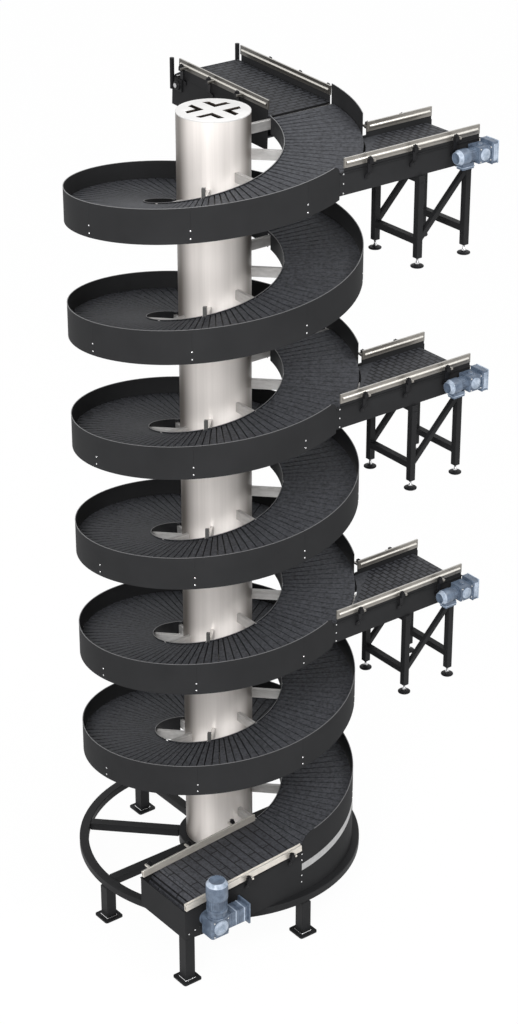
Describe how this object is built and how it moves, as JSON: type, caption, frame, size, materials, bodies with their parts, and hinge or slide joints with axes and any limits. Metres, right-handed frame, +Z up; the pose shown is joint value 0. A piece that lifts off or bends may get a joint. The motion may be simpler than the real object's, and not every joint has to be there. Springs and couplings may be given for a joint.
{
  "type": "spiral conveyor",
  "caption": "Vertical spiral slat conveyor on a central column, with a floor-level infeed, branch outlets on stands at several heights and an outfeed at the top.",
  "frame": {"origin": "centre of the outer floor-anchor circle, on the column axis at floor level", "axes": "+Z up along the column, +X along the travel of the infeed and the branches, +Y along the travel of the outfeed"},
  "size_m": [2.2935, 1.9982, 5.2153],
  "materials": {
    "black_powder_coat": "satin",
    "brushed_stainless": "brushed",
    "pale_cap": "satin",
    "satin_stainless": "satin",
    "slat_grey": "matte",
    "rail_aluminium": "satin",
    "shaft_steel": "satin",
    "knob_plastic": "satin",
    "foot_black": "matte",
    "bearing_iron": "satin",
    "motor_blue_grey": "satin"
  },
  "bodies": {
    "frame": {"column_tube": "brushed_stainless", "column_cap": "pale_cap", "base_hub": "black_powder_coat", "base_ring": "black_powder_coat", "base_spokes": "black_powder_coat", "base_legs": "black_powder_coat", "foot_plates": "black_powder_coat", "support_arms": "satin_stainless", "guide_posts": "black_powder_coat", "inner_track_sheets": "black_powder_coat", "guard_panels": "black_powder_coat", "helix_slats": "slat_grey", "skirt_band": "brushed_stainless", "lower_skirt": "black_powder_coat", "infeed_side_plates": "black_powder_coat", "infeed_end_plate": "black_powder_coat", "infeed_slats": "slat_grey", "infeed_leg": "black_powder_coat", "outfeed_side_plates": "black_powder_coat", "outfeed_slats": "slat_grey", "outfeed_end_posts": "brushed_stainless", "rail_brackets": "black_powder_coat", "clamp_knobs": "knob_plastic", "flange_bearings": "bearing_iron", "gearboxes": "motor_blue_grey", "motor_barrels": "motor_blue_grey", "lower_branch_side_plates": "black_powder_coat", "lower_branch_belt": "slat_grey", "lower_branch_belt_bed": "brushed_stainless", "lower_branch_stand": "black_powder_coat", "middle_branch_side_plates": "black_powder_coat", "middle_branch_belt": "slat_grey", "middle_branch_belt_bed": "brushed_stainless", "middle_branch_stand": "black_powder_coat", "upper_branch_side_plates": "black_powder_coat", "upper_branch_belt": "slat_grey", "upper_branch_belt_bed": "brushed_stainless", "upper_branch_stand": "black_powder_coat"},
    "infeed_drive": {"infeed_drive_shaft": "shaft_steel"},
    "outfeed_tail": {"outfeed_tail_shaft": "shaft_steel"},
    "infeed_near_guide": {"infeed_rail_near": "rail_aluminium"},
    "infeed_far_guide": {"infeed_rail_far": "rail_aluminium"},
    "outfeed_near_guide": {"outfeed_rail_near": "rail_aluminium"},
    "outfeed_far_guide": {"outfeed_rail_far": "rail_aluminium"},
    "lower_drive": {"lower_branch_drive_shaft": "shaft_steel"},
    "lower_near_guide": {"lower_branch_rail_near": "rail_aluminium"},
    "lower_far_guide": {"lower_branch_rail_far": "rail_aluminium"},
    "lower_feet": {"lower_branch_levelling_feet": "foot_black"},
    "middle_drive": {"middle_branch_drive_shaft": "shaft_steel"},
    "middle_near_guide": {"middle_branch_rail_near": "rail_aluminium"},
    "middle_far_guide": {"middle_branch_rail_far": "rail_aluminium"},
    "middle_feet": {"middle_branch_levelling_feet": "foot_black"},
    "upper_drive": {"upper_branch_drive_shaft": "shaft_steel"},
    "upper_near_guide": {"upper_branch_rail_near": "rail_aluminium"},
    "upper_far_guide": {"upper_branch_rail_far": "rail_aluminium"},
    "upper_feet": {"upper_branch_levelling_feet": "foot_black"}
  },
  "joints": [
    {"name": "infeed_drive_turn", "type": "hinge", "parent": "frame", "child": "infeed_drive", "pos_m": [-0.75, -0.636, 0.43579], "axis": [0, 1, 0], "continuous": true},
    {"name": "outfeed_tail_turn", "type": "hinge", "parent": "frame", "child": "outfeed_tail", "pos_m": [0.637, 0.88739, 5.05228], "axis": [-1, 0, 0], "continuous": true},
    {"name": "infeed_near_set", "type": "slide", "parent": "frame", "child": "infeed_near_guide", "axis": [0, 1, 0], "range_m": [-0.01, 0.02]},
    {"name": "infeed_far_set", "type": "slide", "parent": "frame", "child": "infeed_far_guide", "axis": [0, -1, 0], "range_m": [-0.01, 0.02]},
    {"name": "outfeed_near_set", "type": "slide", "parent": "frame", "child": "outfeed_near_guide", "axis": [1, 0, 0], "range_m": [-0.01, 0.02]},
    {"name": "outfeed_far_set", "type": "slide", "parent": "frame", "child": "outfeed_far_guide", "axis": [-1, 0, 0], "range_m": [-0.01, 0.02]},
    {"name": "lower_drive_turn", "type": "hinge", "parent": "frame", "child": "lower_drive", "pos_m": [1.242, -0.62, 2.06256], "axis": [0, 1, 0], "continuous": true},
    {"name": "lower_near_set", "type": "slide", "parent": "frame", "child": "lower_near_guide", "axis": [0, 1, 0], "range_m": [-0.01, 0.02]},
    {"name": "lower_far_set", "type": "slide", "parent": "frame", "child": "lower_far_guide", "axis": [0, -1, 0], "range_m": [-0.01, 0.02]},
    {"name": "lower_level", "type": "slide", "parent": "frame", "child": "lower_feet", "axis": [0, 0, 1], "range_m": [-0.015, 0.015]},
    {"name": "middle_drive_turn", "type": "hinge", "parent": "frame", "child": "middle_drive", "pos_m": [1.242, -0.62, 3.49456], "axis": [0, 1, 0], "continuous": true},
    {"name": "middle_near_set", "type": "slide", "parent": "frame", "child": "middle_near_guide", "axis": [0, 1, 0], "range_m": [-0.01, 0.02]},
    {"name": "middle_far_set", "type": "slide", "parent": "frame", "child": "middle_far_guide", "axis": [0, -1, 0], "range_m": [-0.01, 0.02]},
    {"name": "middle_level", "type": "slide", "parent": "frame", "child": "middle_feet", "axis": [0, 0, 1], "range_m": [-0.015, 0.015]},
    {"name": "upper_drive_turn", "type": "hinge", "parent": "frame", "child": "upper_drive", "pos_m": [1.242, -0.62, 4.92656], "axis": [0, 1, 0], "continuous": true},
    {"name": "upper_near_set", "type": "slide", "parent": "frame", "child": "upper_near_guide", "axis": [0, 1, 0], "range_m": [-0.01, 0.02]},
    {"name": "upper_far_set", "type": "slide", "parent": "frame", "child": "upper_far_guide", "axis": [0, -1, 0], "range_m": [-0.01, 0.02]},
    {"name": "upper_level", "type": "slide", "parent": "frame", "child": "upper_feet", "axis": [0, 0, 1], "range_m": [-0.015, 0.015]}
  ],
  "couplings": [
    {"joint": "outfeed_tail_turn", "follows": "infeed_drive_turn", "ratio": 1.5429}
  ]
}
